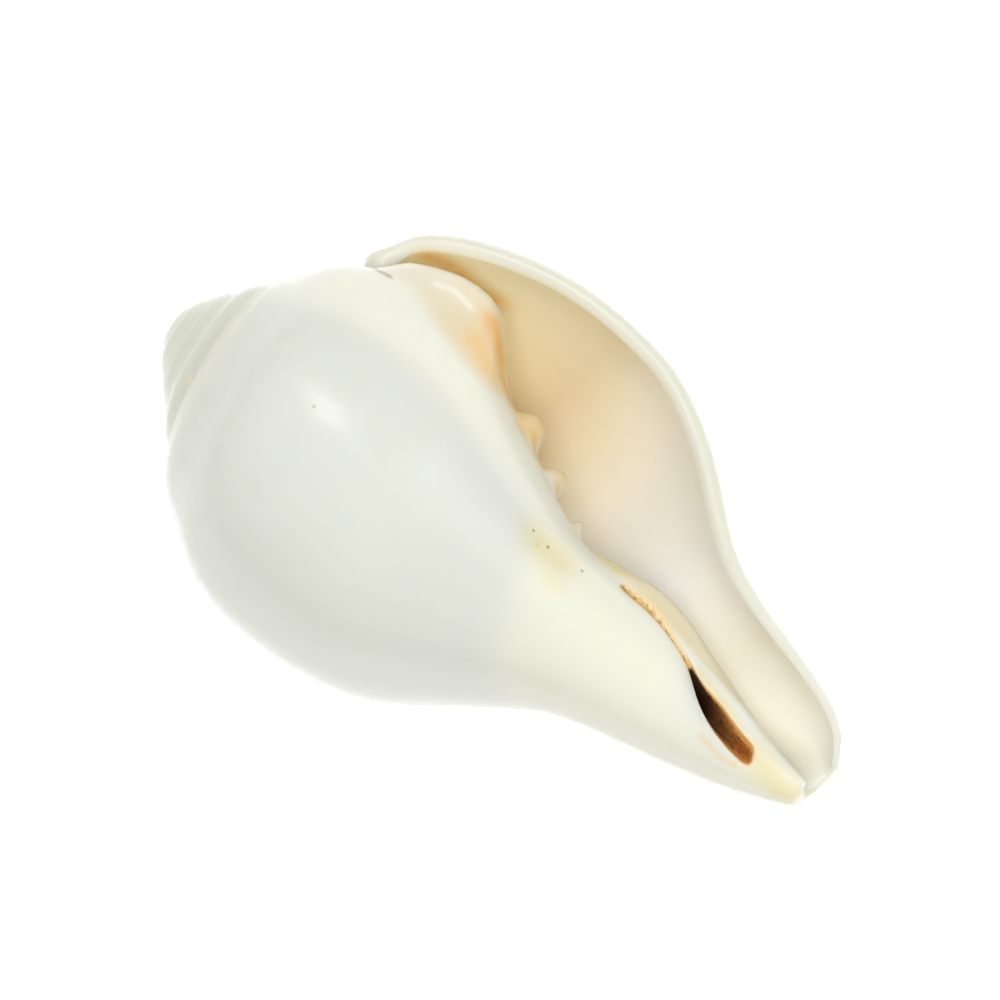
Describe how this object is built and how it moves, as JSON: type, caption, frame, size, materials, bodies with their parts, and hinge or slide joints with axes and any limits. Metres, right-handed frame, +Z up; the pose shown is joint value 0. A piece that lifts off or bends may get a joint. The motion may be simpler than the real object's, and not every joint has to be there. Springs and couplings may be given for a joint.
{
  "type": "shankha shell",
  "caption": "Polished white sea shell of a sacred chank, coiled to the right, with a wide aperture, plaits on its inner wall and a long canal.",
  "frame": {"origin": "middle of the bounding box's bottom, where the shell rests on a surface", "axes": "+Z up, out of the aperture; +X along the shell, from the apex towards the end of the canal; +Y towards the outer lip"},
  "size_m": [0.1272, 0.0768, 0.0661],
  "materials": {
    "shell": "polished"
  },
  "bodies": {
    "root": {"shell": "shell"}
  },
  "joints": []
}
